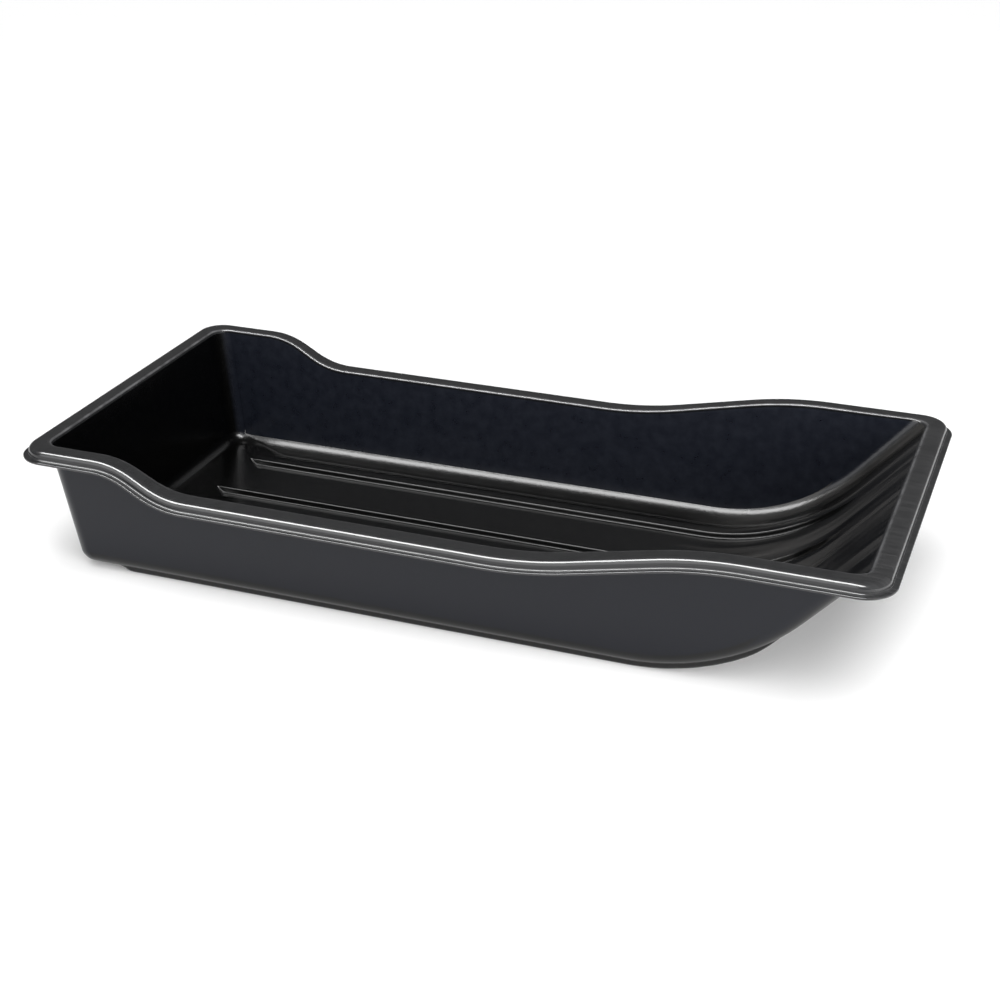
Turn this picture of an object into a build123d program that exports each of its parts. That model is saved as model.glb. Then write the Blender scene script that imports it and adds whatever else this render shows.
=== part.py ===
from build123d import *
import os
from math import asin, cos, degrees, radians, sin, sqrt, tan

# A sport sled formed from one sheet of plastic, stern at -X and bow at +X, standing on its
# runners at Z = 0. Sizes are in millimetres. The sheet is cut along its natural creases into
# the pieces that meet face to face: floor, bow ramp, walls, runner channels and rim lengths.

# The whole sled. The side rims dip between the two decks to a trough amidships.
overall_length = 1372.0
overall_width = 640.0
deck_height = 222.0
bow_lift = 6.5
trough_depth = 48.0
sheet = 4.0

# The corners of that dip, from the stern's or the bow's inner edge
dip_top_reach = 139.0
dip_foot_reach = 222.0
dip_radius = 131.0
rise_foot_reach = 484.0
rise_top_reach = 231.0
rise_radius = 624.0

# The rim: a rail with a rounded shoulder, a drop and a small outward flange
rail_width = 30.0
rim_drop = 15.0
flange_reach = 39.0
shoulder_radius = 9.0
root_radius = 3.0
rim_corner_radius = 50.0
rail_lap = 8.0

# The tub
side_draft = 5.0
stern_draft = 8.0
stern_corner_radius = 26.0
chine_radius = 22.0
ramp_angle = 48.5
bend_radius = 340.0

# The runners: channels formed down into the floor, which bend up the ramp and run out on it
runner_depth = 9.0
runner_bottom = 22.0
runner_flank = 30.0
runner_corner = 5.0
inner_runner_offset = 48.0
outer_runner_gap = 61.0
chine_runner_inset = 46.0
runner_tail_reach = 101.0
runner_tail_skew = 31.0
runner_tail_slope = 35.0
runner_nose_drop = 76.5
runner_nose_depth = 1.5
runner_rise = 6.0

# Worked out from the sizes above
floor_height = runner_depth + sheet
bow_deck_height = deck_height + bow_lift
trough_height = deck_height - trough_depth
stern_edge = -overall_length / 2 + flange_reach
bow_edge = overall_length / 2 - flange_reach
side_edge = overall_width / 2 - flange_reach
corner_inset = rim_corner_radius - flange_reach
clear = 2 * bow_deck_height
ramp = radians(ramp_angle)
bend_start = bow_edge - (bow_deck_height - floor_height) / tan(ramp) - bend_radius * tan(ramp / 2)
runner_tail = stern_edge + runner_tail_reach
chine_runner_offset = side_edge - chine_runner_inset
runner_places = {
    "inner": inner_runner_offset,
    "outer": chine_runner_offset - outer_runner_gap,
    "chine": chine_runner_offset,
}

os.makedirs("parts", exist_ok=True)


def save(piece, name):
    """Labels a finished piece and writes it as its own STEP file."""
    piece.label = name
    export_step(piece, f"parts/{name}.step")


def sheer_line(x_from, x_to):
    """The top of the side rims from the side: deck, dip, trough, rise and deck."""
    FilletPolyline(
        (x_from, deck_height),
        (stern_edge + dip_top_reach, deck_height),
        (stern_edge + dip_foot_reach, trough_height),
        (bow_edge - rise_foot_reach, trough_height),
        (bow_edge - rise_top_reach, bow_deck_height),
        (x_to, bow_deck_height),
        radius=[dip_radius, dip_radius, rise_radius, rise_radius],
    )


def side_at(height, grow):
    """Half the tub's width at a height, with the walls moved out by grow."""
    lean = (height - deck_height) * tan(radians(side_draft))
    return side_edge + lean + grow / cos(radians(side_draft))


def stern_at(height, grow):
    """Where the stern wall stands at a height, with the wall moved out by grow."""
    lean = (height - deck_height) * tan(radians(stern_draft))
    return stern_edge - lean - grow / cos(radians(stern_draft))


def bed_line(grow):
    """Corners of the line along the floor and up the ramp, moved down and out by grow."""
    level = floor_height - grow
    brow = (bow_edge + grow * sin(ramp), bow_deck_height - grow * cos(ramp))
    corner = brow[0] - (brow[1] - level) / tan(ramp)
    top = brow[0] + (clear - brow[1]) / tan(ramp)
    return [(corner, level), (top, clear)]


def room_above_bed(grow, back, back_top):
    """Everything above the floor and the ramp, from a stern line that leans from back to back_top."""
    points = [(back, floor_height - grow), *bed_line(grow), (back_top, clear)]
    with BuildPart() as room:
        with BuildSketch(Plane.XZ):
            with BuildLine():
                FilletPolyline(points, radius=[0, bend_radius + grow, 0, 0], close=True)
            make_face()
        extrude(amount=overall_width, both=True)
    return room.part


def tub_form(grow):
    """The filled shape of the tub: its inside for grow = 0, its outside for grow = sheet."""
    level = floor_height - grow
    foot, brim = side_at(level, grow), side_at(clear, grow)
    with BuildPart() as form:
        with BuildSketch(Plane.YZ):
            with BuildLine():
                Polyline((-foot, level), (foot, level), (brim, clear), (-brim, clear), close=True)
            make_face()
        extrude(amount=overall_length, both=True)
        add(room_above_bed(grow, stern_at(level, grow), stern_at(clear, grow)), mode=Mode.INTERSECT)
        stern_face = form.faces().sort_by(Axis.X)[0]
        stern_corners = [edge for edge in stern_face.edges() if abs((edge % 0.5).Z) > cos(ramp)]
        fillet(stern_corners, radius=stern_corner_radius + grow)
        bed = form.faces().filter_by(lambda face: face.normal_at(face.center()).Z < -sin(ramp) / 2)
        stern_zone = stern_edge + clear * tan(radians(stern_draft))
        chine = bed.edges().filter_by(
            lambda edge: abs((edge % 0.5).Y) < cos(ramp / 2) or edge.center().X < stern_zone
        )
        fillet(chine, radius=chine_radius + grow)
    return form.part


tub_inside = tub_form(0)
tub_outside = tub_form(sheet)

with BuildPart() as above_sheer:
    with BuildSketch(Plane.XZ):
        with BuildLine():
            sheer_line(-overall_length, overall_length)
            Polyline(
                (overall_length, bow_deck_height),
                (overall_length, 2 * clear),
                (-overall_length, 2 * clear),
                (-overall_length, deck_height),
            )
        make_face()
    extrude(amount=overall_width, both=True)


# The runner channels. On the ramp each sole follows an arc of its own, which starts at the full
# depth and is almost out of the ramp at the nose.
nose_x = bow_edge - runner_nose_drop / tan(ramp) + runner_nose_depth * sin(ramp)
nose_height = bow_deck_height - runner_nose_drop - runner_nose_depth * cos(ramp)
nose_rise = nose_height - (floor_height - runner_depth)
sole_radius = ((nose_x - bend_start) ** 2 + nose_rise**2) / (2 * nose_rise)
nose_turn = degrees(asin((nose_x - bend_start) / sole_radius))
flank = radians(runner_flank)


def channel_section(place, grow):
    """Section of a runner channel where the floor begins to bend up, moved out by grow."""
    sole = floor_height - runner_depth
    top = floor_height + runner_rise
    narrow = runner_bottom / 2 - grow * tan(flank) + grow / cos(flank)
    wide = runner_bottom / 2 + (top - sole) * tan(flank) + grow / cos(flank)
    corner = runner_corner + grow
    across = Plane(origin=(bend_start, place, 0), x_dir=(0, 1, 0), z_dir=(1, 0, 0))
    with BuildSketch(across) as section:
        with BuildLine():
            FilletPolyline(
                [(-wide, top), (-narrow, sole - grow), (narrow, sole - grow), (wide, top)],
                radius=[0, corner, corner, 0],
                close=True,
            )
        make_face()
    return section.sketch


def tail_plane(place, grow):
    """The slanted plane that closes a channel at its stern end, moved out by grow."""
    width = runner_bottom + 2 * runner_depth * tan(flank)
    slope = radians(runner_tail_slope)
    reach = sqrt(width**2 + runner_tail_skew**2)
    normal = Vector(width / reach * cos(slope), runner_tail_skew / reach * cos(slope), sin(slope))
    point = Vector(runner_tail, place + width / 2, floor_height) - normal * grow
    return Plane(origin=point, z_dir=normal)


def channel_form(place, grow):
    """The filled shape of a port runner channel: a straight run, then one bent up the ramp."""
    section = channel_section(place, grow)
    bend_centre = (bend_start, place, floor_height - runner_depth + sole_radius)
    with BuildPart() as form:
        extrude(section, amount=runner_tail - bend_start - 2 * runner_tail_skew)
        split(bisect_by=tail_plane(place, grow), keep=Keep.TOP)
        revolve(section, axis=Axis(bend_centre, (0, -1, 0)), revolution_arc=nose_turn)
    return form.part


bend_plane = Plane(origin=(bend_start, 0, 0), z_dir=(1, 0, 0))
channel_outsides = {}

for title, place in runner_places.items():
    channel_outsides[title] = channel_form(place, sheet)
    with BuildPart() as channel:
        add(channel_outsides[title])
        add(tub_inside, mode=Mode.SUBTRACT)
        add(channel_form(place, 0), mode=Mode.SUBTRACT)
    for length, side in (("run", Keep.BOTTOM), ("nose", Keep.TOP)):
        with BuildPart() as port_runner:
            add(channel.part)
            split(bisect_by=bend_plane, keep=side)
        save(port_runner.part, f"port_{title}_runner_{length}")
        save(mirror(port_runner.part, about=Plane.XZ), f"starboard_{title}_runner_{length}")


# The sheet without its runners, cut at the creases. The chines are its round lower edges.
with BuildPart() as tub:
    add(tub_outside)
    add(tub_inside, mode=Mode.SUBTRACT)
    add(above_sheer.part, mode=Mode.SUBTRACT)
    for title in runner_places:
        add(channel_outsides[title], mode=Mode.SUBTRACT)
        add(channel_outsides[title].mirror(Plane.XZ), mode=Mode.SUBTRACT)

stern_lean, side_lean = radians(stern_draft), radians(side_draft)
stern_plane = Plane(
    origin=(stern_at(deck_height, -chine_radius), 0, deck_height),
    z_dir=(cos(stern_lean), 0, sin(stern_lean)),
)
port_plane = Plane(
    origin=(0, side_at(deck_height, -chine_radius), deck_height),
    z_dir=(0, cos(side_lean), -sin(side_lean)),
)
starboard_plane = Plane(
    origin=(0, -side_at(deck_height, -chine_radius), deck_height),
    z_dir=(0, -cos(side_lean), -sin(side_lean)),
)
above_chines = room_above_bed(-chine_radius, -overall_length, -overall_length)

with BuildPart() as upper:
    add(tub.part)
    add(above_chines, mode=Mode.INTERSECT)
with BuildPart() as lower:
    add(tub.part)
    add(above_chines, mode=Mode.SUBTRACT)

with BuildPart() as stern_wall:
    add(upper.part)
    split(bisect_by=stern_plane, keep=Keep.BOTTOM)
save(stern_wall.part, "stern_wall")

with BuildPart() as port_wall:
    add(upper.part)
    split(bisect_by=stern_plane, keep=Keep.TOP)
    split(bisect_by=Plane.XZ, keep=Keep.BOTTOM)
save(port_wall.part, "port_wall")
save(mirror(port_wall.part, about=Plane.XZ), "starboard_wall")

with BuildPart() as stern_chine:
    add(lower.part)
    split(bisect_by=stern_plane, keep=Keep.BOTTOM)
save(stern_chine.part, "stern_chine")

with BuildPart() as bottom:
    add(lower.part)
    split(bisect_by=stern_plane, keep=Keep.TOP)

for length, side in (("side", Keep.BOTTOM), ("bow", Keep.TOP)):
    with BuildPart() as port_chine:
        add(bottom.part)
        split(bisect_by=port_plane, keep=Keep.TOP)
        split(bisect_by=bend_plane, keep=side)
    save(port_chine.part, f"port_{length}_chine")
    save(mirror(port_chine.part, about=Plane.XZ), f"starboard_{length}_chine")

for name, side in (("floor_pan", Keep.BOTTOM), ("bow_ramp", Keep.TOP)):
    with BuildPart() as panel:
        add(bottom.part)
        split(bisect_by=port_plane, keep=Keep.BOTTOM)
        split(bisect_by=starboard_plane, keep=Keep.BOTTOM)
        split(bisect_by=bend_plane, keep=side)
    save(panel.part, name)


def rim_section(origin, outward, along):
    """Section of the rim, from its inner edge outward and from its top down."""
    foot = -rim_drop - sheet
    with BuildSketch(Plane(origin=origin, x_dir=outward, z_dir=along)) as section:
        with BuildLine():
            FilletPolyline(
                [
                    (-rail_lap, 0),
                    (rail_width, 0),
                    (rail_width, -rim_drop),
                    (flange_reach, -rim_drop),
                    (flange_reach, foot),
                    (rail_width - sheet, foot),
                    (rail_width - sheet, -sheet),
                    (-rail_lap, -sheet),
                ],
                radius=[0, shoulder_radius, root_radius, 0, 0, root_radius + sheet, shoulder_radius - sheet, 0],
                close=True,
            )
        make_face()
    return section.sketch


stern_corner = stern_edge + corner_inset
bow_corner = bow_edge - corner_inset
side_corner = side_edge - corner_inset


def end_rim(edge, corner, heading, height):
    """The rim across one end of the tub, with its two round corners."""
    with BuildPart() as rim:
        for side in (-1, 1):
            section = rim_section((edge, side * side_corner, height), (heading, 0, 0), (0, -heading, 0))
            turn = Axis((corner, side * side_corner, 0), (0, 0, side * heading))
            revolve(section, axis=turn, revolution_arc=90)
            if side == heading:
                extrude(section, amount=2 * side_corner)
        add(tub_outside, mode=Mode.SUBTRACT)
    return rim.part


save(end_rim(stern_edge, stern_corner, -1, deck_height), "stern_rim")
save(end_rim(bow_edge, bow_corner, 1, bow_deck_height), "bow_rim")

with BuildLine(Plane.XZ.offset(-side_edge)) as sheer:
    sheer_line(stern_corner, bow_corner)

with BuildPart() as port_rim:
    for stretch in sheer.edges():
        start, heading = stretch @ 0, stretch % 0
        section = rim_section(start, (0, 1, 0), heading)
        if stretch.geom_type == GeomType.LINE:
            extrude(section, amount=stretch.length)
        else:
            hub = stretch.arc_center
            turn = degrees(stretch.length / stretch.radius)
            revolve(section, axis=Axis(hub, heading.cross(hub - start)), revolution_arc=turn)
    add(tub_outside, mode=Mode.SUBTRACT)
save(port_rim.part, "port_rim")
save(mirror(port_rim.part, about=Plane.XZ), "starboard_rim")
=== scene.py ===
import bmesh
import bpy
import numpy as np
from mathutils import Euler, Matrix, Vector


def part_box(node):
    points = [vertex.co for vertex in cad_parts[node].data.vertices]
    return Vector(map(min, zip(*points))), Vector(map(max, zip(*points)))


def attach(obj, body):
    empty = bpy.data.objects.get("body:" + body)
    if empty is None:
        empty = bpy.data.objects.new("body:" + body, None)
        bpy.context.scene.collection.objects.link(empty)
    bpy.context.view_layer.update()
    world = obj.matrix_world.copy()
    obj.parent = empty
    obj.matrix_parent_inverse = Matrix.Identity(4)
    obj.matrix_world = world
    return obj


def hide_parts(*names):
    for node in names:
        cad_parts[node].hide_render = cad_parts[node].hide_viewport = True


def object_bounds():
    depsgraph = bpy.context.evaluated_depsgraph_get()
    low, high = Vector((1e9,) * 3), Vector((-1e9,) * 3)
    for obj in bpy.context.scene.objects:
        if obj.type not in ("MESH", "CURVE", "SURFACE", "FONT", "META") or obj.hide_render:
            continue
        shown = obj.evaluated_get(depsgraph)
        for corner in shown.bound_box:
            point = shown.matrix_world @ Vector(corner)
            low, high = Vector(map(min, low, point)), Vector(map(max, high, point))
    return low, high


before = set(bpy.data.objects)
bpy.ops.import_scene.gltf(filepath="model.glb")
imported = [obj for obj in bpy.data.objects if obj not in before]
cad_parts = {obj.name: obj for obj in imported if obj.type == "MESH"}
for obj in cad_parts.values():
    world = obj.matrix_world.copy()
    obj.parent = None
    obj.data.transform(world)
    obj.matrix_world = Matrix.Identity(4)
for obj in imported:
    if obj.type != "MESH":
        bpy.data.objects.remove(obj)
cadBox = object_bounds()
print("frame loaded:", len(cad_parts), "nodes")

# The camera looks back over the starboard side from a little ahead of the bow. Metres and degrees, lens
# in mm.
cameraValues = {
    "place": (0.902, -2.392, 1.337),
    "pitch": 64.28,
    "yaw": 20.38,
    "lens": 62.95,
    "sensor": 36,
    "seesTo": 60,
}

camera = bpy.data.objects.new("camera", bpy.data.cameras.new("camera"))
camera.location = cameraValues["place"]
camera.rotation_euler = Euler(np.radians((cameraValues["pitch"], 0, cameraValues["yaw"])))
camera.data.lens = cameraValues["lens"]
camera.data.sensor_width = cameraValues["sensor"]
camera.data.clip_end = cameraValues["seesTo"]
bpy.context.scene.collection.objects.link(camera)
bpy.context.scene.camera = camera
bpy.context.scene.view_settings.view_transform = "Standard"
print("camera placed")

# The tub, in metres and degrees. Its outer sizes, its sheet and its heights come from the frame below.
tubValues = {
    "flange": 0.039,  # how far the whole rim reaches out from the tub's inner edge
    "edgeStart": 0.0062,  # how far below that edge the walls end and the rim begins
    "corner": 0.026,
    "chine": 0.022,
    "sideDraft": 5.0,
    "sternDraft": 8.0,
    "sternTurn": 0.17,  # length over which the cross-sections turn from the stern wall's lean to upright
    "ramp": 48.5,
    "bend": 0.340,
    "bowTurn": 0.075,  # length over which they turn from square on the ramp to level with the bow rim
    "troughDepth": 0.048,
    "dip": (0.139, 0.222, 0.131),  # the side rims' upper and lower corner from the stern, and their radius
    "rise": (0.484, 0.231, 0.624),  # their lower and upper corner from the bow, and their radius
}

low, high = np.array(cadBox[0]), np.array(cadBox[1])
floorLow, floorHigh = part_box("floor_pan")
sheet = floorHigh.z - floorLow.z
floorTop = floorHigh.z
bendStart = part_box("bow_ramp")[0].x
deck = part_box("stern_rim")[1].z
bowDeck = high[2]
sternEdge = low[0] + tubValues["flange"]
bowEdge = high[0] - tubValues["flange"]
sideEdge = high[1] - tubValues["flange"]
rampAngle = np.radians(tubValues["ramp"])
rampCot = np.cos(rampAngle) / np.sin(rampAngle)
sideLean = np.tan(np.radians(tubValues["sideDraft"]))
sternLean = np.tan(np.radians(tubValues["sternDraft"]))
bendLength = tubValues["bend"] * rampAngle


def smoothStep(t):
    # 0 below 0, 1 above 1 and a smooth S between
    t = np.clip(t, 0, 1)
    return t * t * (3 - 2 * t)


def softMin(a, b, width):
    # the smaller of a and b, with the corner between them rounded over width
    return np.minimum(a, b) - np.maximum(width - np.abs(a - b), 0) ** 2 / (4 * width)


def unit(v):
    # each vector over its own length
    return v / np.linalg.norm(v, axis=-1, keepdims=True)


def sheer(x):
    # height of the side rims: straight runs, and at each corner between two runs the arc that touches both
    dipTop, dipFoot, dipRadius = tubValues["dip"]
    riseFoot, riseTop, riseRadius = tubValues["rise"]
    trough = deck - tubValues["troughDepth"]
    corners = [
        (sternEdge + dipTop, deck, dipRadius),
        (sternEdge + dipFoot, trough, dipRadius),
        (bowEdge - riseFoot, trough, riseRadius),
        (bowEdge - riseTop, bowDeck, riseRadius),
    ]
    line = [(sternEdge, deck)] + [(c[0], c[1]) for c in corners] + [(bowEdge, bowDeck)]
    height = np.interp(x, [p[0] for p in line], [p[1] for p in line])
    for before, (cx, cz, radius), after in zip(line, corners, line[2:]):
        into = np.arctan2(cz - before[1], cx - before[0])
        out = np.arctan2(after[1] - cz, after[0] - cx)
        reach = radius * np.tan(abs(out - into) / 2)
        sign = np.sign(out - into)
        hubX = cx - reach * np.cos(into) - sign * radius * np.sin(into)
        hubZ = cz - reach * np.sin(into) + sign * radius * np.cos(into)
        on = (x > cx - reach * np.cos(into)) & (x < cx + reach * np.cos(out))
        arc = hubZ - sign * np.sqrt(np.maximum(radius**2 - (x - hubX) ** 2, 0))
        height = np.where(on, arc, height)
    return height


def bedLine(s):
    # the line along the floor (s < 0), round the bend and up the ramp, by its own length: place and
    # upward normal
    bend = tubValues["bend"]
    turn = np.clip(s / bend, 0, rampAngle)
    straight = np.maximum(s - bendLength, 0)
    x = bendStart + np.minimum(s, 0) + bend * np.sin(turn) + straight * np.cos(rampAngle)
    z = floorTop + bend * (1 - np.cos(turn)) + straight * np.sin(rampAngle)
    return x, z, -np.sin(turn), np.cos(turn)


def sideFoot(z):
    # half the tub's width where the side wall's line meets height z
    return sideEdge + (z - deck) * sideLean


bedEnd = bendLength + (bowDeck - bedLine(bendLength)[1]) / np.sin(rampAngle)
sternFoot = sternEdge + (deck - floorTop) * sternLean
seamX = sternFoot + tubValues["corner"]
seamY = sideFoot(floorTop) - tubValues["corner"]

# The six runner channels, in metres, with angles from upright. Places are out from the keel line, along the
# sled for the tail and along the bed from the bend for the rest.
runnerValues = {
    "places": {"inner": 0.048, "outer": 0.174, "chine": 0.235},
    "halfTop": 0.0162,
    "depth": 0.009,
    "flanks": {"inner": (16.0, 16.0), "outer": (16.0, 16.0), "chine": (42.0, 16.0)},  # inboard, outboard
    "flankRound": 0.002,
    "soleRound": 0.0042,
    "edgeRound": 0.0042,
    "tail": -0.546,
    "tailSkew": 0.031,
    "tailSlope": 35.0,
    "shallowFrom": 0.14,
    "fadePast": 0.01,
    "fadeGain": 1.15,
    "narrowFrom": 0.165,
    "narrowPower": 1.3,
    "nose": 0.335,
    "noseShare": 0.12,
    "surround": 0.0026,  # how close above its surface the bed still counts as the channel's
}

# A sheet drawn over a mould is crisp where it touches and soft on its open face, which shows in the deep
# chine channels: these values take the place of the ones above on the tub's inner face
softValues = {"flanks": (58.0, 50.0), "edgeRound": 0.0090, "tailSlope": 64.0}

# How fine the tub's surfaces are: lengths in metres, except that the columns beside a channel's edge and
# across half a channel are in millimetres from the edge
gridValues = {
    "cornerRows": 4,
    "tailBefore": 0.020,
    "tailAfter": 0.064,
    "tailStep": 0.0016,
    "floorStep": 0.009,
    "floorStop": 0.012,
    "foldRow": 0.006,
    "rampRows": 96,
    "besideEdge": (-4.6, -3.6, -3.0, -2.5, -2.1, -1.7, -1.3, -0.9, -0.45),
    "acrossHalf": (0, 0.3, 0.6, 0.9, 1.3, 1.7, 2.1, 2.5, 3.0, 3.5, 4.2, 5.2, 7, 10, 16.2),
    "keelColumns": 7,
    "innerColumns": 12,
    "outerColumns": 6,
    "sideColumns": 17,
    "stripColumns": 14,
    "arcColumns": 34,
    "wallRows": 8,
    "turnStations": 18,
    "edgeSteps": 40,
}
wallRows, stripColumns = gridValues["wallRows"], gridValues["stripColumns"]
onBed, onChine, onWall = 0, 1, 2
sampleRow = 5  # the cross-section that shows whether a grid's normals point up or down


def runnerEdges(s, title):
    # the channel's two edges: parallel in the floor, with the outboard one closing in on the ramp
    centre, half = runnerValues["places"][title], runnerValues["halfTop"]
    start, nose = runnerValues["narrowFrom"], runnerValues["nose"]
    closing = smoothStep((s - start) / (nose - start)) ** runnerValues["narrowPower"]
    return centre - half + 0 * s, centre + half - 2 * half * (1 - runnerValues["noseShare"]) * closing


def runnerShape(title, soft):
    # the channel's flank angles, edge rounding and tail slope, on the sheet's crisp face or on its soft one
    if soft and title == "chine":
        return softValues["flanks"], softValues["edgeRound"], softValues["tailSlope"]
    return runnerValues["flanks"][title], runnerValues["edgeRound"], runnerValues["tailSlope"]


def runnerHeight(s, y, title, soft):
    # height of the channel's own surface over the bed, the highest of its sole, its flanks and its
    # slanted tail, and the rounding with which it meets the bed
    inboard, outboard = runnerEdges(s, title)
    angles, edgeRound, tailSlope = runnerShape(title, soft)
    steep = 1 / np.tan(np.radians(angles))
    shallow, nose = runnerValues["shallowFrom"], runnerValues["nose"]
    fade = smoothStep((nose + runnerValues["fadePast"] - s) / (nose - shallow))
    sole = runnerValues["depth"] * np.minimum(1, runnerValues["fadeGain"] * fade) - edgeRound * (1 - fade)
    inner, outer = (y - inboard) * steep[0], (outboard - y) * steep[1]
    flanks = softMin(inner, outer, runnerValues["flankRound"])
    width, skew = 2 * runnerValues["halfTop"], runnerValues["tailSkew"]
    beyond = (bedLine(s)[0] - runnerValues["tail"]) * width + (y - outboard) * skew
    tail = beyond / np.hypot(width, skew) / np.tan(np.radians(tailSlope))
    rounding = runnerValues["soleRound"]
    return -softMin(softMin(sole, flanks, rounding), tail, rounding), edgeRound


def channelled(s, y, h, soft):
    # a point h above the bed drops to the channel's surface where that lies lower; also says which
    # channel it is in
    y = np.abs(y)
    inside = np.zeros(np.broadcast(s, y, h).shape, int)
    result = h + 0 * inside
    for number, title in enumerate(runnerValues["places"], 1):
        surface, edgeRound = runnerHeight(s, y, title, soft)
        inside = np.where(surface < h + runnerValues["surround"], number, inside)
        result = softMin(result, surface, edgeRound)
    return result, inside


def stationPlaces():
    # places of the tub's cross-sections along the bed, closer together at the tails and on the bend
    tailFrom = runnerValues["tail"] - gridValues["tailBefore"]
    tailTo = runnerValues["tail"] + gridValues["tailAfter"]
    floorRows = int((bendStart - tailTo) / gridValues["floorStep"])
    runs = [
        np.linspace(seamX, tailFrom, gridValues["cornerRows"])[:-1],
        np.arange(tailFrom, tailTo, gridValues["tailStep"]),
        np.linspace(tailTo, bendStart - gridValues["floorStop"], floorRows),
    ]
    floor = np.concatenate(runs) - bendStart
    last = bedEnd - chineTop * np.cos(rampAngle) / np.sin(rampAngle) - tubValues["edgeStart"]
    return np.concatenate([floor, [-gridValues["foldRow"]], np.linspace(0, last, gridValues["rampRows"])])


def chineArc(lean):
    # the rounded foot of a wall that leans by lean: offset inward from the wall and height over the bed,
    # which are the arc that touches both, floor end first
    radius = tubValues["chine"]
    theta = np.linspace(0, 1, gridValues["arcColumns"]) * np.arctan2(1, lean)
    centre = lean * radius - radius * np.sqrt(1 + lean**2)
    height = radius - radius * np.cos(theta)
    return lean * height - centre - radius * np.sin(theta), height


chineTop = chineArc(np.array(sideLean))[1][-1]


def halfColumns(s):
    # places across the port half of the bed, from the keel line out to the foot of the chine: dense at
    # channel edges
    near = np.array(gridValues["besideEdge"]) / 1000
    across = np.array(gridValues["acrossHalf"])
    across = across / across[-1] / 2
    share = np.concatenate([across, 1 - across[-2::-1]])
    inner = runnerEdges(s, "inner")
    outer = runnerEdges(s, "outer")
    chine = runnerEdges(s, "chine")[0]

    def between(a, b, title):
        # even places from a up to b, which is left out
        return a + (b - a) * np.linspace(0, 1, gridValues[title], endpoint=False)

    def channel(edges):
        # places before, across and past one channel
        inboard, outboard = edges
        return [inboard + near, inboard + (outboard - inboard) * share, outboard - near[::-1]]

    parts = [between(0 * s, inner[0] + near[0], "keelColumns"), *channel(inner)]
    parts += [between(inner[1] - near[0], outer[0] + near[0], "innerColumns")[:, 1:], *channel(outer)]
    parts += [between(outer[1] - near[0], chine + near[0], "outerColumns")[:, 1:], chine + near]
    parts += [between(chine, seamY + 0 * s, "sideColumns")]
    return np.concatenate(parts, axis=1)


def sternward(x):
    # how far a cross-section near the stern has turned to lean with the stern wall
    return smoothStep((seamX + tubValues["sternTurn"] - x) / tubValues["sternTurn"])


def rimEdge(s):
    # the inner edge of the port rim above each station: up the section until it meets the sheer line,
    # each step taking the mean of the last height and the one that the sheer asks for
    x, z, nx, nz = bedLine(s)
    leaning = nx - sternLean * sternward(x)
    height = sheer(x) - z
    for _ in range(gridValues["edgeSteps"]):
        height = 0.5 * height + 0.5 * (sheer(x + leaning * height) - z) / nz
    ex = x + leaning * height
    ez = z + nz * height
    return np.stack([ex, sideFoot(ez), ez], -1)


def wallUp(foot, top):
    # rows of points from the chine's last point, left out, up to the wall's top
    share = np.linspace(0, 1, wallRows + 1)[1:, None]
    return foot + (top[:, None] - foot) * share


def portHalf(soft):
    # the tub's form, keel line to port rim: bed, channels, chine arc and wall, station by station
    s = stationPlaces()[:, None]
    skew = smoothStep((s - s[-1] + tubValues["bowTurn"]) / tubValues["bowTurn"])
    sBed = s + chineTop * rampCot * skew
    bedY = halfColumns(sBed)
    bx, bz, nx, nz = bedLine(sBed)
    lean = sideLean * nz
    offset, rise = chineArc(lean)
    strip = np.linspace(0, 1, stripColumns, endpoint=False)
    stripY = seamY + (sideFoot(bz) - offset[:, :1] - seamY) * strip
    flatY = np.concatenate([bedY, stripY], axis=1)
    drop, flatRunner = channelled(sBed, flatY, 0 * flatY, soft)
    flat = np.stack([bx + nx * drop, flatY, bz + nz * drop], -1)

    sArc = s + (chineTop - rise) * rampCot * skew
    bx, bz, nx, nz = bedLine(sArc)
    arcY = sideFoot(bz) + lean * rise - offset
    drop, arcRunner = channelled(sArc, arcY, rise, soft)
    arc = np.stack([bx + (nx - sternLean * sternward(bx)) * drop, arcY, bz + nz * drop], -1)

    # the wall's top lies down its own face from the rim's edge: across the sheer amidships, and along the
    # stern's or the ramp's slope at the ends
    edge = rimEdge(s[:, 0] + tubValues["edgeStart"] * skew[:, 0])
    step = 1e-4
    slope = (sheer(edge[:, 0] + step) - sheer(edge[:, 0] - step)) / (2 * step)
    along = unit(np.stack([np.ones_like(slope), 0 * slope, slope], -1))
    wallNormal = np.array([0, 1, -sideLean]) / np.hypot(1, sideLean)
    down = -np.cross(along, wallNormal)
    sternDown = -unit(np.array([-sternLean, sideLean, 1]))
    bowDown = -np.array([np.cos(rampAngle), sideLean * np.sin(rampAngle), np.sin(rampAngle)])
    turned = sternward(edge[:, :1])
    down = down * (1 - turned) * (1 - skew) + sternDown * turned + bowDown * skew
    wall = wallUp(arc[:, -1:], edge + unit(down) * tubValues["edgeStart"])
    kinds = [onBed] * flatY.shape[1] + [onChine] * offset.shape[1] + [onWall] * wallRows
    runner = np.concatenate([flatRunner, arcRunner, np.zeros(wall.shape[:2], int)], axis=1)
    return np.concatenate([flat, arc, wall], axis=1), runner, np.array(kinds), edge


def gridNormals(grid):
    # normals of a grid: the cross product of its two directions
    a = np.gradient(grid, axis=0)
    b = np.gradient(grid, axis=1)
    n = np.cross(a, b)
    return n / np.maximum(np.linalg.norm(n, axis=-1, keepdims=True), 1e-12)


flipSide = np.array([1, -1, 1])
softPort, portRunner, portKinds, portEdge = portHalf(True)
crispPort = portHalf(False)[0]
tub, crispTub = (np.concatenate([p[:, :0:-1], p * flipSide], axis=1) for p in (softPort, crispPort))
tubRunner = np.concatenate([portRunner[:, :0:-1], portRunner], axis=1)
tubKinds = np.concatenate([portKinds[:0:-1], portKinds])


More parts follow.
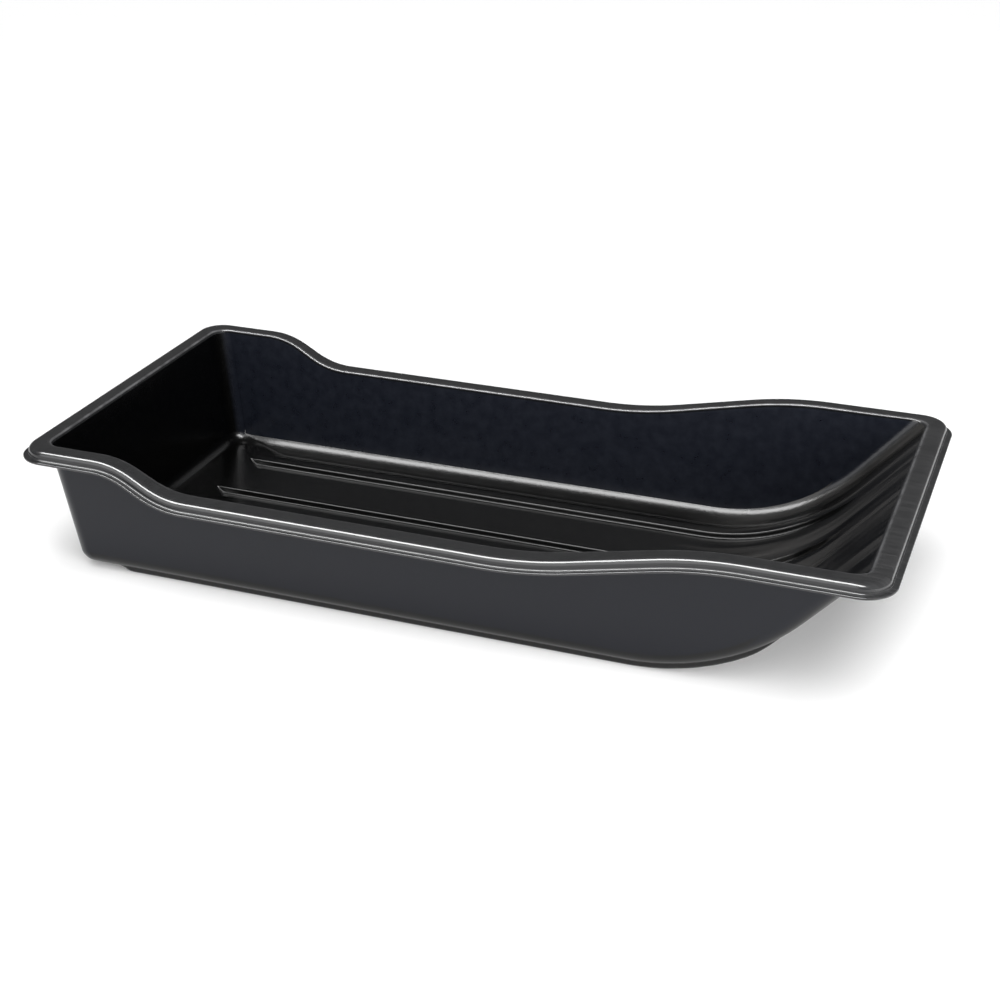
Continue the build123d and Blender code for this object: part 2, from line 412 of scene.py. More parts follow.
def tubNormals(grid):
    # the grid's normals turned outward and down; the last cross-section's walls take theirs from the
    # wall's foot
    normal = gridNormals(grid)
    normal *= np.sign(-normal[sampleRow, grid.shape[1] // 2, 2])
    normal[-1, -wallRows:] = normal[-1, -wallRows - 1]
    normal[-1, :wallRows] = normal[-1, wallRows]
    return normal


tubNormal, crispNormal = tubNormals(tub), tubNormals(crispTub)
tubOuter = crispTub + crispNormal * sheet
print("tub worked out:", tub.shape)


def sternGrid():
    # the stern wall and its two corners, from port seam to starboard seam, each station from the floor
    # seam up
    corner, turns = tubValues["corner"], gridValues["turnStations"]
    flatCount = np.sum(portKinds == onBed) - stripColumns
    sternY = softPort[0, :flatCount, 1][::-1]
    sternY = np.concatenate([sternY, -sternY[-2::-1]])
    turn = np.linspace(0, np.pi / 2, turns)[1:]
    angle = np.concatenate([[0], turn, np.full(len(sternY), np.pi / 2), np.pi - turn[::-1], [np.pi]])
    footY = np.concatenate([np.full(turns, seamY), sternY, np.full(turns, -seamY)])
    outward = np.stack([-np.sin(angle), np.cos(angle), 0 * angle], -1)
    hub = np.stack([np.full_like(footY, seamX), footY, np.full_like(footY, floorTop)], -1)
    foot = hub + outward * corner
    rise = np.stack([np.full_like(footY, -sternLean), sideLean * footY / seamY, np.ones_like(footY)], -1)
    lean = (sternLean * np.sin(angle) + sideLean * np.abs(np.cos(angle)))[:, None]
    offset, height = chineArc(lean)
    strip = np.linspace(0, 1, stripColumns, endpoint=False)
    flatOffset = corner + (offset[:, :1] - corner) * strip
    offset = np.concatenate([flatOffset, offset], axis=1)[:, :, None]
    height = np.concatenate([0 * flatOffset, height], axis=1)[:, :, None]
    lower = foot[:, None] + rise[:, None] * height - outward[:, None] * offset
    edge = foot + rise * (deck - floorTop)
    wall = wallUp(lower[:, -1:], edge - unit(rise) * tubValues["edgeStart"])
    return np.concatenate([lower, wall], axis=1), edge, angle


stern, sternTop, sternAngle = sternGrid()
sternNormal = gridNormals(stern)
sternNormal *= np.sign(-sternNormal[len(stern) // 2, -3, 0])
seamCount = stern.shape[1]
sternNormal[:, 0] = (0, 0, -1)
sternNormal[0] = tubNormal[0, seamCount - 1 :: -1]
sternNormal[-1] = tubNormal[0, -seamCount:]
sternOuter = stern + sternNormal * sheet
print("stern worked out:", stern.shape)

# What is dropped, merged and marked when a mesh is made
meshValues = {
    "smallestFace": 1e-11,  # square metres
    "mergeDistance": 2e-6,
    "sideLightingFrom": 0.7,  # a surface begins to count as a side for the painted side lighting when its normal's Y part passes this
    "sideLightingOver": 0.29,  # and counts in full this much further
}


def meshPiece(name, points, quads, normals, wearAndSheen):
    # a closed mesh from arrays; doubled points are merged and the given normals are kept for its shading
    a, b, c, d = (points[quads[:, k]] for k in range(4))
    area = np.linalg.norm(np.cross(c - a, d - b), axis=1)
    quads = quads[area > meshValues["smallestFace"]]
    a, b, c, d = (points[quads[:, k]] for k in range(4))
    volume = np.sum(a * (np.cross(b, c) + np.cross(c, d)))
    if volume < 0:
        quads = quads[:, ::-1]
    used, remap = np.unique(quads, return_inverse=True)
    quads = remap.reshape(quads.shape)
    mesh = bpy.data.meshes.new(name)
    mesh.vertices.add(len(used))
    mesh.vertices.foreach_set("co", points[used].astype(np.float32).ravel())
    mesh.loops.add(quads.size)
    mesh.loops.foreach_set("vertex_index", quads.astype(np.int32).ravel())
    mesh.polygons.add(len(quads))
    mesh.polygons.foreach_set("loop_start", np.arange(0, quads.size, 4, dtype=np.int32))
    keep = mesh.attributes.new("shading", "FLOAT_VECTOR", "POINT")
    keep.data.foreach_set("vector", normals[used].astype(np.float32).ravel())

    # for the material: 1 on the inner face, the rolled edge's scuffs and painted highlight, and how far the
    # surface faces port or starboard, which sets the painted side lighting and is 0 on the channels because
    # they belong to the bed
    facing = (np.abs(normals[used][:, 1]) - meshValues["sideLightingFrom"]) / meshValues["sideLightingOver"]
    marks = {
        "innerFace": used < len(points) // 2,
        "edgeWearAndSheen": wearAndSheen[used],
        "sideLightingShare": smoothStep(facing) * ("Runner" not in name),
    }
    for title, values in marks.items():
        mark = mesh.attributes.new(title, "FLOAT", "POINT")
        mark.data.foreach_set("value", values.astype(np.float32))
    mesh.update(calc_edges=True)
    work = bmesh.new()
    work.from_mesh(mesh)
    bmesh.ops.remove_doubles(work, verts=work.verts, dist=meshValues["mergeDistance"])
    work.to_mesh(mesh)
    work.free()
    shading = np.zeros(len(mesh.vertices) * 3, np.float32)
    mesh.attributes["shading"].data.foreach_get("vector", shading)
    mesh.attributes.remove(mesh.attributes["shading"])
    mesh.shade_smooth()
    mesh.normals_split_custom_set_from_vertices(shading.reshape(-1, 3))
    piece = bpy.data.objects.new(name, mesh)
    bpy.context.scene.collection.objects.link(piece)
    return piece


def shellPiece(name, inner, outer, innerNormal, outerNormal, cells, columnWearAndSheen=0):
    # part of the sheet: the chosen cells of its inner and outer faces, closed by walls along their border
    rows, columns = inner.shape[:2]
    count = rows * columns
    index = np.arange(count).reshape(rows, columns)
    corners = np.stack([index[:-1, :-1], index[1:, :-1], index[1:, 1:], index[:-1, 1:]], -1)
    around = np.pad(cells, 1)
    outside = [around[1:-1, :-2], around[2:, 1:-1], around[1:-1, 2:], around[:-2, 1:-1]]
    faces = [corners[cells], corners[cells][:, ::-1] + count]
    for k, neighbour in enumerate(outside):
        border = corners[cells & ~neighbour]
        start, end = border[:, k], border[:, (k + 1) % 4]
        faces.append(np.stack([end, start, start + count, end + count], -1))
    points = np.concatenate([inner.reshape(-1, 3), outer.reshape(-1, 3)])
    normals = np.concatenate([innerNormal.reshape(-1, 3), outerNormal.reshape(-1, 3)])
    wearAndSheen = np.concatenate([(np.zeros((rows, columns)) + columnWearAndSheen).ravel(), np.zeros(count)])
    return meshPiece(name, points, np.concatenate(faces), normals, wearAndSheen)


# A cell of the tub's grid belongs to a channel only where all four corners do, and the ramp's pieces
# begin one row before the bend.
pieces = {}
rowNumber = np.arange(len(tub) - 1)[:, None]
rowIsRamp = rowNumber >= len(tub) - 1 - gridValues["rampRows"]
runnerCell = tubRunner[:-1, :-1]
for other in (tubRunner[1:, :-1], tubRunner[:-1, 1:], tubRunner[1:, 1:]):
    runnerCell = np.where(other == runnerCell, runnerCell, 0)
kindCell = np.minimum(tubKinds[:-1], tubKinds[1:])[None]
portCell = (np.arange(tub.shape[1] - 1) < (tub.shape[1] - 1) // 2)[None]
plain = runnerCell == 0


def tubPiece(node, cells):
    # the chosen cells of the tub, named after the node they stand for
    name = node.title().replace("_", "")
    pieces[node] = shellPiece(name, tub, tubOuter, -tubNormal, crispNormal, cells)


tubPiece("floor_pan", plain & (kindCell == onBed) & ~rowIsRamp)
tubPiece("bow_ramp", plain & (kindCell == onBed) & rowIsRamp)
for side, onSide in (("port", portCell), ("starboard", ~portCell)):
    everyRow = np.ones_like(rowIsRamp)
    tubPiece(f"{side}_wall", (kindCell == onWall) & onSide & everyRow)
    tubPiece(f"{side}_side_chine", plain & (kindCell == onChine) & onSide & ~rowIsRamp)
    tubPiece(f"{side}_bow_chine", plain & (kindCell == onChine) & onSide & rowIsRamp)
    for number, title in enumerate(runnerValues["places"], 1):
        tubPiece(f"{side}_{title}_runner_run", (runnerCell == number) & onSide & ~rowIsRamp)
        tubPiece(f"{side}_{title}_runner_nose", (runnerCell == number) & onSide & rowIsRamp)

wallCells = np.ones((stern.shape[0] - 1, stern.shape[1] - 1), bool)
wallCells[:, :-wallRows] = False
for node, cells in (("stern_wall", wallCells), ("stern_chine", ~wallCells)):
    name = node.title().replace("_", "")
    pieces[node] = shellPiece(name, stern, sternOuter, -sternNormal, sternNormal, cells)
print("tub pieces made:", len(pieces))

# The rim: a rail with a rolled inner edge, a rounded shoulder, a drop and a small flange, in metres
rimValues = {
    "railWidth": 0.030,
    "drop": 0.015,
    "shoulder": 0.009,
    "root": 0.003,
    "lip": 0.0016,
    "edgeRound": 0.0032,
    "flangeCorner": 0.050,
    "cornerBlend": 0.06,  # length over which a corner's stations gather on its hub
    "railFrom": 0.006,
    "flangeFrom": 0.0004,
    "railPoints": 4,
    "shoulderPoints": 11,
    "rootPoints": 6,
    "lipPoints": 5,
    "rollPoints": 8,
    "underPoints": 5,
    "wearAndSheen": (0, 0, 0.3, 0.8, 1, 1, 0.8, 0.4, 0.15),  # over the rolled edge, where hands and cargo scuff it and where a highlight is painted along it
}


def rimPath():
    # the loop that the rim follows: the port side from stern to bow, the bow, the starboard side, the stern
    row = slice(wallRows + 1, tub.shape[1] - wallRows - 1)
    bowTop = tub[-1, row] + unit(tub[-1, row] - tub[-2, row]) * tubValues["edgeStart"]
    edge = [portEdge, bowTop, portEdge[::-1] * flipSide, sternTop[-2:0:-1]]
    start = [tub[:, 0], tub[-1, row], tub[::-1, -1], stern[-2:0:-1, -1]]
    under = [tubOuter[:, 0], tubOuter[-1, row], tubOuter[::-1, -1], sternOuter[-2:0:-1, -1]]
    normal = [tubNormal[:, 0], tubNormal[-1, row], tubNormal[::-1, -1], sternNormal[-2:0:-1, -1]]
    edge, start, under, normal = (np.concatenate(part) for part in (edge, start, under, normal))

    # the shoulder's own loop: straight sides and quarter circles about four hubs, met station by station
    inset = rimValues["flangeCorner"] - tubValues["flange"]
    hubX, hubY, blend = bowEdge - inset, sideEdge - inset, rimValues["cornerBlend"]
    sideX, bowY, sternY = portEdge[:, 0], bowTop[:, 1], sternTop[-2:0:-1, 1]

    def gathered(places, first, last, hub):
        # places between two corners, with those near a corner drawn to its hub
        targets = [-hub, first + blend, last - blend, hub]
        return np.interp(places, [first, first + blend, last - blend, last], targets)

    sideHub = gathered(sideX, sideX[0], sideX[-1], hubX)
    arcCount = np.sum(portKinds == onChine) - 1
    bowHub = gathered(bowY, -bowY[arcCount - 1], bowY[arcCount - 1], hubY)
    corner = sideEdge - tubValues["corner"]
    sternHub = gathered(sternY, -corner, corner, hubY)
    quarter = np.linspace(np.pi / 2, 0, arcCount + 1)
    bowTurn = np.concatenate([quarter[1:], np.zeros(len(bowY) - 2 * arcCount), -quarter[:0:-1]])
    side = np.full(len(sideX), np.pi / 2)
    turn = np.concatenate([side, bowTurn, -side, sternAngle[-2:0:-1] + np.pi / 2])
    placeX = np.concatenate([sideHub, np.full(len(bowY), hubX), sideHub[::-1], np.full(len(sternY), -hubX)])
    placeY = np.concatenate([side * 0 + hubY, bowHub, side * 0 - hubY, sternHub])
    outward = np.stack([np.cos(turn), np.sin(turn), 0 * turn], -1)
    brow = np.stack([placeX, placeY, edge[:, 2]], -1) + outward * (rimValues["railWidth"] + inset)
    forward = np.roll(edge, -1, axis=0) - np.roll(edge, 1, axis=0)
    forward = unit(forward - outward * np.sum(forward * outward, axis=1, keepdims=True))
    up = np.array([0, 0, 1]) - forward * forward[:, 2:]
    counts = np.cumsum([len(sideX), len(bowY), len(sideX), len(sternY)])
    return edge, start, under, normal, brow, outward, unit(up), counts


def arcPoints(centre, radius, fromTurn, toTurn, count):
    # points on a circular arc in the rim's own section, turns in degrees
    turn = np.radians(np.linspace(fromTurn, toTurn, count))
    return np.stack([centre[0] + radius * np.cos(turn), centre[1] + radius * np.sin(turn)], -1)


def rimSection():
    # the rim's upper and under lines, outward and upward of its inner edge, with the same number of
    # points in each
    width, drop, shoulder = rimValues["railWidth"], rimValues["drop"], rimValues["shoulder"]
    root, lip, flange = rimValues["root"], rimValues["lip"], tubValues["flange"]
    shoulderPoints, rootPoints, lipPoints = (rimValues[k + "Points"] for k in ("shoulder", "root", "lip"))
    browHub, rootHub = (width - shoulder, -shoulder), (width + root, root - drop)
    upper = np.concatenate([
        arcPoints(browHub, shoulder, 90, 0, shoulderPoints),
        arcPoints(rootHub, root, 180, 270, rootPoints),
        arcPoints((flange - lip, -drop - lip), lip, 90, 0, lipPoints),
        arcPoints((flange - lip, -drop - sheet + lip), lip, 0, -90, lipPoints),
    ])
    flangeX = np.linspace(rootHub[0] + rimValues["flangeFrom"], flange - lip, 2 * lipPoints)
    lower = np.concatenate([
        arcPoints(browHub, shoulder - sheet, 90, 0, shoulderPoints),
        arcPoints(rootHub, root + sheet, 180, 270, rootPoints),
        np.stack([flangeX, np.full(2 * lipPoints, -drop - sheet)], -1),
    ])
    rail = np.linspace(rimValues["railFrom"], browHub[0], rimValues["railPoints"], endpoint=False)
    above = np.concatenate([np.stack([rail, 0 * rail], -1), upper])
    below = np.concatenate([np.stack([rail, 0 * rail - sheet], -1), lower])
    return above, below


def onSection(section, edge, brow, outward, up):
    # section points along the loop: across the rail from edge to brow, and straight outward beyond it
    width = rimValues["railWidth"]
    across = np.minimum(section[:, 0], width)[None, :, None] / width
    beyond = np.maximum(section[:, 0] - width, 0)[None, :, None]
    lift = section[:, 1][None, :, None]
    return edge[:, None] + (brow - edge)[:, None] * across + outward[:, None] * beyond + up[:, None] * lift


def rimGrid():
    # both faces of the rim: the rolled inner edge first, a conic that is a circular arc between wall and
    # rail, then the section's points
    edge, start, under, normal, brow, outward, up, counts = rimPath()
    down, out = unit(start - edge), unit(brow - edge)
    half = np.sqrt((1 - np.sum(down * out, axis=1)) / 2)[:, None, None]
    t = np.linspace(0, 1, rimValues["rollPoints"])[None, :, None]
    a, b, c = (1 - t) ** 2, 2 * t * (1 - t) * half, t**2
    reach = rimValues["edgeRound"]
    p, q = (edge + down * reach)[:, None], (edge + out * reach)[:, None]
    roll = (a * p + b * edge[:, None] + c * q) / (a + b + c)
    back = -np.sum(down * out, axis=1)[:, None]
    fall = -np.sum(down * up, axis=1)[:, None]
    crease = edge + normal * sheet + down * sheet * (1 - back) / fall
    above, below = rimSection()
    top = onSection(above, edge, brow, outward, up)
    bottom = onSection(below, edge, brow, outward, up)
    share = np.linspace(0, 1, rimValues["underPoints"])[None, :, None]
    rise = under[:, None] + (crease - under)[:, None] * share
    run = crease[:, None] + (bottom[:, :1] - crease[:, None]) * share[:, 1:]
    top = np.concatenate([start[:, None], roll, top], axis=1)
    bottom = np.concatenate([rise, run, bottom], axis=1)
    return top, bottom, normal, counts


rimTop, rimUnder, rimNormal, rimCounts = rimGrid()


def loopNormals(grid, first, railColumn):
    # normals of a closed loop of sections, turned up at the rail's column; the first column takes the
    # given ones
    normal = gridNormals(np.concatenate([grid[-1:], grid, grid[:1]]))[1:-1]
    normal *= np.sign(normal[sampleRow, railColumn, 2])
    normal[:, 0] = first
    return normal


railTop, railUnder = 10, 11  # a column on the flat of the rail
rimTopNormal = loopNormals(rimTop, -rimNormal, railTop)
rimUnderNormal = -loopNormals(rimUnder, -rimNormal, railUnder)
loops = [np.concatenate([grid, grid[:1]]) for grid in (rimTop, rimUnder, rimTopNormal, rimUnderNormal)]
station = np.arange(len(rimTop))
portEnd, bowFinish, starboardEnd, sternFinish = rimCounts
spans = {
    "port_rim": (0, portEnd - 1),
    "bow_rim": (portEnd - 1, bowFinish),
    "starboard_rim": (bowFinish, starboardEnd - 1),
    "stern_rim": (starboardEnd - 1, sternFinish),
}
rollWearAndSheen = np.zeros(rimTop.shape[1])
rollWearAndSheen[: len(rimValues["wearAndSheen"])] = rimValues["wearAndSheen"]
for node, (begin, finish) in spans.items():
    cells = np.repeat(((station >= begin) & (station < finish))[:, None], rimTop.shape[1] - 1, axis=1)
    pieces[node] = shellPiece(node.title().replace("_", ""), *loops, cells, rollWearAndSheen)
print("rim made:", rimTop.shape)


def newGroup(name, inputs, outputs):
    # an empty node group with a vector input for the place, plain number inputs, and number outputs
    group = bpy.data.node_groups.new(name, "ShaderNodeTree")
    group.interface.new_socket("Place", in_out="INPUT", socket_type="NodeSocketVector")
    for title, value in inputs.items():
        socket = group.interface.new_socket(title, in_out="INPUT", socket_type="NodeSocketFloat")
        socket.default_value = value
    for title in outputs:
        group.interface.new_socket(title, in_out="OUTPUT", socket_type="NodeSocketFloat")
    return group, group.nodes.new("NodeGroupInput").outputs, group.nodes.new("NodeGroupOutput").inputs


def addNode(tree, kind, **settings):
    # a new node with its settings
    node = tree.nodes.new(kind)
    for title, value in settings.items():
        setattr(node, title, value)
    return node


def feed(tree, value, socket):
    # gives a socket a fixed colour or number, or another node's output
    if isinstance(value, bpy.types.NodeSocket):
        tree.links.new(value, socket)
    else:
        socket.default_value = (*value, 1) if isinstance(value, tuple) else value


def calculated(tree, operation, *values):
    # one arithmetic node on its values: a product, a sum, or the first times the second plus the third
    node = addNode(tree, "ShaderNodeMath", operation=operation)
    for value, socket in zip(values, node.inputs):
        feed(tree, value, socket)
    return node.outputs[0]


def splitPlace(tree, place):
    # the place's three parts
    split = addNode(tree, "ShaderNodeSeparateXYZ")
    tree.links.new(place, split.inputs[0])
    return split.outputs


def scaledPlace(tree, source, scale):
    # the place multiplied by one number
    multiply = addNode(tree, "ShaderNodeVectorMath", operation="SCALE")
    tree.links.new(source, multiply.inputs[0])
    tree.links.new(scale, multiply.inputs["Scale"])
    return multiply.outputs[0]


def noiseOf(tree, vector, detail, roughness=0.5):
    # soft noise at a place that is already scaled
    noise = addNode(tree, "ShaderNodeTexNoise")
    noise.inputs["Scale"].default_value = 1
    noise.inputs["Detail"].default_value = detail
    noise.inputs["Roughness"].default_value = roughness
    tree.links.new(vector, noise.inputs["Vector"])
    return noise.outputs["Fac"]


def wavySkinGroup():
    # the uneven skin of a hot sheet drawn over a mould: broad waves plus a share of smaller dimples as a
    # height, and the broad waves alone as a mottle
    rates = {"Waves per metre": 58, "Dimples per metre": 150, "Dimple share": 0.4}
    group, put, out = newGroup("wavySkin", rates, ["Height", "Mottle"])
    broad = noiseOf(group, scaledPlace(group, put["Place"], put["Waves per metre"]), 2)
    dimples = noiseOf(group, scaledPlace(group, put["Place"], put["Dimples per metre"]), 3, 0.6)
    feed(group, calculated(group, "MULTIPLY_ADD", dimples, put["Dimple share"], broad), out["Height"])
    feed(group, broad, out["Mottle"])
    return group


def fineGrainGroup():
    # the pebbled grain that the sheet is extruded with: smooth distance to the nearest scattered point
    group, put, out = newGroup("fineGrain", {"Grains per metre": 900}, ["Height"])
    cells = addNode(group, "ShaderNodeTexVoronoi", feature="SMOOTH_F1")
    cells.inputs["Scale"].default_value = 1
    feed(group, scaledPlace(group, put["Place"], put["Grains per metre"]), cells.inputs["Vector"])
    feed(group, cells.outputs["Distance"], out["Height"])
    return group


def drawStreaksAndSheenGroup():
    # long marks left where the sheet slid and stretched, whose lighter colour is partly a painted
    # highlight: noise that changes fast across the sled and slowly along it
    rates = {"Across per metre": 60, "Along per metre": 5}
    group, put, out = newGroup("drawStreaksAndSheen", rates, ["Streaks"])
    split = splitPlace(group, put["Place"])
    joined = addNode(group, "ShaderNodeCombineXYZ")
    for axis, rate in (("X", "Along per metre"), ("Y", "Across per metre"), ("Z", "Along per metre")):
        feed(group, calculated(group, "MULTIPLY", split[axis], put[rate]), joined.inputs[axis])
    feed(group, noiseOf(group, joined.outputs[0], 3, 0.55), out["Streaks"])
    return group


skinGroup, grainGroup, streakGroup = wavySkinGroup(), fineGrainGroup(), drawStreaksAndSheenGroup()

# The plastic's two finishes. Colours are linear, heights are metres of bump, and rates are per metre.
# bedColours: dark and light mottle, on all but the sides; the rim's are lighter than the tub's, a painted
# sheen for the light its rails catch. sideLightingColours: outer and inner face, on the sides, painted
# light: the tub's sides lighter and bluer than its bed and the rim's rail lighter than its sides, by which
# way they
# face. markAndSheenColour: stretch marks, partly a painted highlight. wornAndSheenColour: the rolled edge's
# scuffs and painted highlight. roughness and waveHeight: outer and inner face. streaksFrom: where along the
# sled the marks begin, and where they are full. streakRange: the noise at which a mark begins, and at which
# it is full.
plasticValues = {
    "tub": {
        "bedColours": ((0.0004, 0.0004, 0.0004), (0.0010, 0.0010, 0.0010)),
        "sideLightingColours": ((0.0010, 0.0016, 0.0042), (0.0104, 0.0122, 0.0176)),
        "markAndSheenColour": (0.0440, 0.0425, 0.0410),
        "wornAndSheenColour": (0.0440, 0.0425, 0.0410),
        "specular": 0.28,
        "roughness": (0.26, 0.235),
        "mottleRoughness": 0.03,
        "waveHeight": (0.00004, 0.00026),
        "streakHeight": 0.0008,
        "streaksFrom": (0.26, 0.42),
        "streakRange": (0.44, 0.66),
        "grainHeight": 0.000008,
        "across": 34,
        "along": 3,
    },
    "rim": {
        # the rail's greys, lighter than the tub's, are a painted sheen for the light the rails catch
        "bedColours": ((0.0190, 0.0192, 0.0200), (0.0280, 0.0283, 0.0292)),
        "sideLightingColours": ((0.0060, 0.0063, 0.0072), (0.0060, 0.0063, 0.0072)),
        "markAndSheenColour": (0.0420, 0.0420, 0.0430),
        # the rolled edge's scuffs and painted highlight
        "wornAndSheenColour": (0.1200, 0.1200, 0.1240),
        "specular": 0.5,
        "roughness": (0.16, 0.16),
        "mottleRoughness": 0.04,
        "waveHeight": (0.00006, 0.00014),
        "streakHeight": 0.00008,
        "streaksFrom": (0.60, 0.65),
        "streakRange": (0.36, 0.74),
        "grainHeight": 0.000008,
        "across": 160,
        "along": 20,
    },
}

# What both finishes share: the part of the waves that makes the mottle, how far the mottle thins the
# painted side lighting and the rolled edge's scuffs and painted highlight, and the plastic's refraction
mottleValues = {
    "range": (0.15, 0.85),
    "onSideLighting": (0.35, 1),
    "wearAndSheenFrom": (0.3, 0.7),
    "onWearAndSheen": (0.4, 1),
    "ior": 1.5,
}


def placedGroup(tree, group, place, values):
    # a node group at its place, with the inputs that differ from its own
    node = addNode(tree, "ShaderNodeGroup", node_tree=group)
    tree.links.new(place, node.inputs["Place"])
    for title, value in values.items():
        node.inputs[title].default_value = value
    return node.outputs


def marked(tree, title):
    # a mesh's own mark of that name
    return addNode(tree, "ShaderNodeAttribute", attribute_name=title).outputs["Fac"]


def ranged(tree, value, source, target):
    # value from the source range to the target range, held at its ends
    node = addNode(tree, "ShaderNodeMapRange")
    tree.links.new(value, node.inputs["Value"])
    node.inputs["From Min"].default_value, node.inputs["From Max"].default_value = source
    node.inputs["To Min"].default_value, node.inputs["To Max"].default_value = target
    return node.outputs["Result"]


def mixed(tree, factor, a, b):
    # colour a where the factor is 0 and b where it is 1
    node = addNode(tree, "ShaderNodeMix", data_type="RGBA")
    feed(tree, factor, node.inputs["Factor"])
    feed(tree, a, node.inputs["A"])
    feed(tree, b, node.inputs["B"])
    return node.outputs["Result"]


def blackPlastic(name, values):
    # black polyethylene: a dark mottled base with stretch marks partly painted as highlights, sides painted
    # lighter and bluer or darker by which way they face, the rolled edge's scuffs and painted highlight, a
    # roughness that follows the mottle, and waves, marks and grain as bumps
    material = bpy.data.materials.new(name)
    material.use_nodes = True
    tree = material.node_tree
    shader = tree.nodes["Principled BSDF"]
    shader.inputs["IOR"].default_value = mottleValues["ior"]
    shader.inputs["Specular IOR Level"].default_value = values["specular"]
    place = addNode(tree, "ShaderNodeTexCoord").outputs["Object"]
    inner, side, wearAndSheen = (marked(tree, title) for title in ("innerFace", "sideLightingShare", "edgeWearAndSheen"))
    skin = placedGroup(tree, skinGroup, place, {})
    grain = placedGroup(tree, grainGroup, place, {})
    rates = {"Across per metre": values["across"], "Along per metre": values["along"]}
    streaks = placedGroup(tree, streakGroup, place, rates)["Streaks"]
    mottle = ranged(tree, skin["Mottle"], mottleValues["range"], (0, 1))
    forward = splitPlace(tree, place)["X"]

    # colour: mottle, marks with their painted highlight forward on the inner face, then the sides' painted
    # light, then the rolled edge's scuffs and painted highlight
    reached = calculated(tree, "MULTIPLY", ranged(tree, forward, values["streaksFrom"], (0, 1)), inner)
    shown = ranged(tree, streaks, values["streakRange"], (0, 1))
    bed = mixed(tree, mottle, *values["bedColours"])
    # lighter streaks: stretch marks, their lighter colour partly a painted highlight
    bed = mixed(tree, calculated(tree, "MULTIPLY", reached, shown), bed, values["markAndSheenColour"])
    # painted light: the sides take a lighter, bluer colour than the bed by which way they face
    sideLightingMottle = calculated(tree, "MULTIPLY", inner, ranged(tree, mottle, (0, 1), mottleValues["onSideLighting"]))
    colour = mixed(tree, side, bed, mixed(tree, sideLightingMottle, *values["sideLightingColours"]))
    # a lighter grey over the rolled edge: scuffs, and a painted highlight along the edge
    thinned = ranged(tree, mottle, mottleValues["wearAndSheenFrom"], mottleValues["onWearAndSheen"])
    colour = mixed(tree, calculated(tree, "MULTIPLY", wearAndSheen, thinned), colour, values["wornAndSheenColour"])
    feed(tree, colour, shader.inputs["Base Color"])

    # roughness: the face's own, plus or minus half of what the mottle adds
    half = values["mottleRoughness"] / 2
    uneven = ranged(tree, mottle, (0, 1), (-half, half))
    plainRoughness = ranged(tree, inner, (0, 1), values["roughness"])
    feed(tree, calculated(tree, "ADD", plainRoughness, uneven), shader.inputs["Roughness"])

    # bump: waves by face, marks that grow forward, and grain
    waveHeight = ranged(tree, inner, (0, 1), values["waveHeight"])
    markHeight = ranged(tree, forward, values["streaksFrom"], (0, values["streakHeight"]))
    height = calculated(tree, "MULTIPLY", skin["Height"], waveHeight)
    height = calculated(tree, "MULTIPLY_ADD", streaks, markHeight, height)
    height = calculated(tree, "MULTIPLY_ADD", grain["Height"], values["grainHeight"], height)
    bump = addNode(tree, "ShaderNodeBump")
    bump.inputs["Strength"].default_value = 1
    bump.inputs["Distance"].default_value = 1
    feed(tree, height, bump.inputs["Height"])
    feed(tree, bump.outputs["Normal"], shader.inputs["Normal"])
    return material


finishes = {title: blackPlastic(title + "Plastic", values) for title, values in plasticValues.items()}
print("plastic mixed")

for node, piece in pieces.items():
    piece.data.materials.append(finishes["rim" if node.endswith("_rim") else "tub"])
    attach(piece, "root")
    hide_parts(node)
print("pieces placed:", len(pieces))

# The studio: a pale floor, dim surroundings that brighten low in front, a wide high lamp and three
# softboxes. Sizes and places are in metres, angles in degrees and powers in watts. The high lamp and the
# bow's softbox only light, and the strip over the front only shows in reflections.
studioValues = {
    "floor": (0.97, 0.97, 0.97),
    "floorRoughness": 0.9,
    "floorSize": 30.0,
    "surroundBack": 0.11,
    "surroundFront": 0.86,
    "surroundFrom": (-0.3, -0.95),
    "surroundSeen": 1.0,
    "sunPlace": (0, 0, 4),
    "sunTowards": (0.08, -0.16, 1.0),
    "sunStrength": 2.65,
    "sunWidth": 56,
    "softboxes": {
        "front": {
            "place": (-1.0, -3.0, 1.3),
            "aim": (0, 0, 0.3),
            "size": (3.0, 2.4),
            "power": 58,
            "lights": True,
            "shows": True,
        },
        "bow": {
            "place": (2.6, -1.8, 1.0),
            "aim": (0.7, 0, 0),
            "size": (1.6, 1.2),
            "power": 84,
            "lights": True,
            "shows": False,
        },
        "strip": {
            "place": (-0.5, -1.6, 2.6),
            "aim": (0, 0, 0.1),
            "size": (4.0, 1.0),
            "power": 350,
            "lights": False,
            "shows": True,
        },
    },
}

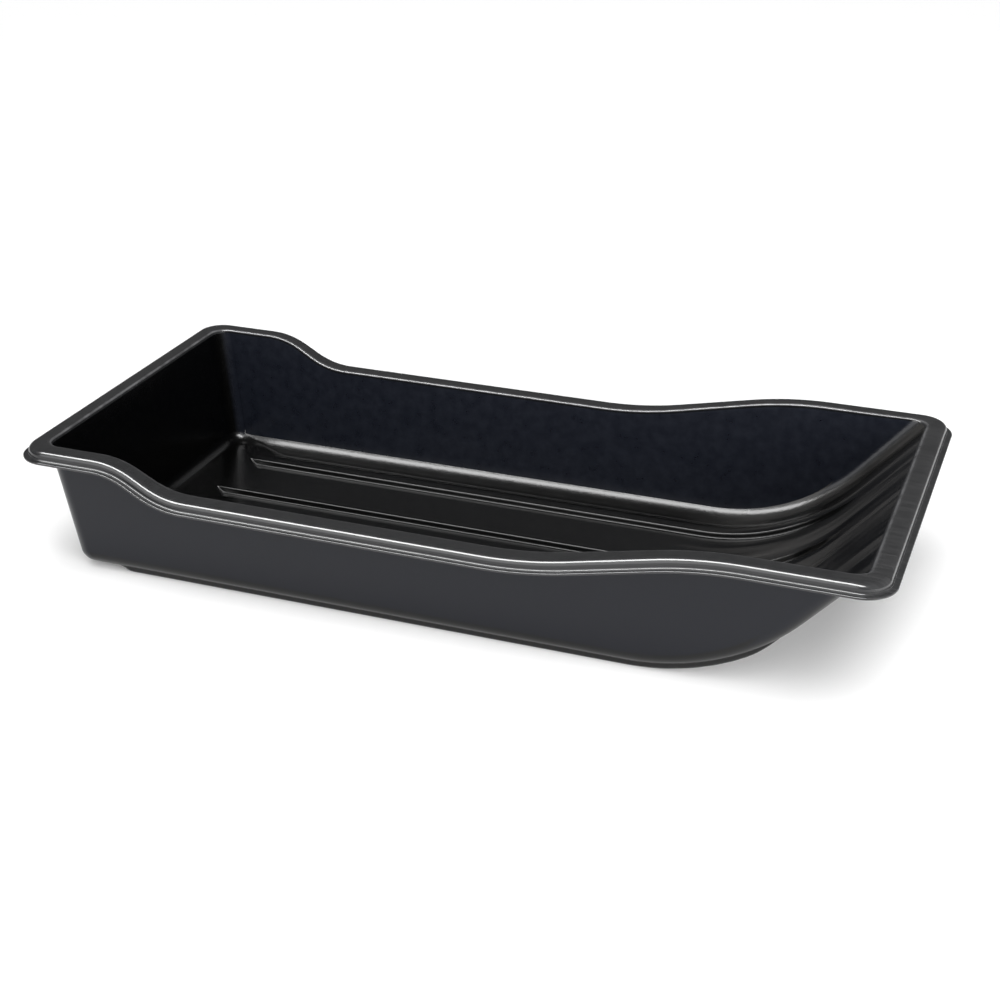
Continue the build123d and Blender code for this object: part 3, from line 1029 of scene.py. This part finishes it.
floorMesh = bpy.data.meshes.new("studioFloor")
reach = studioValues["floorSize"] / 2
floorCorners = [(-reach, -reach, 0), (reach, -reach, 0), (reach, reach, 0), (-reach, reach, 0)]
floorMesh.from_pydata(floorCorners, [], [(0, 1, 2, 3)])
studioFloor = bpy.data.objects.new("studioFloor", floorMesh)
bpy.context.scene.collection.objects.link(studioFloor)
floorPaint = bpy.data.materials.new("paleFloor")
floorPaint.use_nodes = True
floorShader = floorPaint.node_tree.nodes["Principled BSDF"]
floorShader.inputs["Base Color"].default_value = (*studioValues["floor"], 1)
floorShader.inputs["Roughness"].default_value = studioValues["floorRoughness"]
floorMesh.materials.append(floorPaint)

# surroundings, dim behind and overhead and brighter low in front, and plain white where they are seen
# past the floor
world = bpy.data.worlds.new("surroundings")
world.use_nodes = True
net = world.node_tree
direction = splitPlace(net, addNode(net, "ShaderNodeTexCoord").outputs["Generated"])
backToFront = (studioValues["surroundBack"], studioValues["surroundFront"])
brightness = ranged(net, direction["Y"], studioValues["surroundFrom"], backToFront)
cameraRay = addNode(net, "ShaderNodeLightPath").outputs["Is Camera Ray"]
seen = ranged(net, cameraRay, (0, 1), (0, studioValues["surroundSeen"]))
background = net.nodes["Background"]
feed(net, calculated(net, "MAXIMUM", brightness, seen), background.inputs["Strength"])
background.inputs["Color"].default_value = (1, 1, 1, 1)
bpy.context.scene.world = world


def addLamp(name, kind, place, towards):
    # a lamp at place that shines along towards
    lamp = bpy.data.objects.new(name, bpy.data.lights.new(name, kind))
    lamp.location = place
    lamp.rotation_euler = Vector(towards).to_track_quat("-Z", "Y").to_euler()
    bpy.context.scene.collection.objects.link(lamp)
    return lamp


highLamp = addLamp("highLamp", "SUN", studioValues["sunPlace"], -Vector(studioValues["sunTowards"]))
highLamp.visible_glossy = False
highLamp.data.energy = studioValues["sunStrength"]
highLamp.data.angle = np.radians(studioValues["sunWidth"])
for title, values in studioValues["softboxes"].items():
    towards = Vector(values["aim"]) - Vector(values["place"])
    softbox = addLamp(title + "Softbox", "AREA", values["place"], towards)
    softbox.visible_diffuse, softbox.visible_glossy = values["lights"], values["shows"]
    softbox.data.shape = "RECTANGLE"
    softbox.data.size, softbox.data.size_y = values["size"]
    softbox.data.energy = values["power"]
print("studio set")
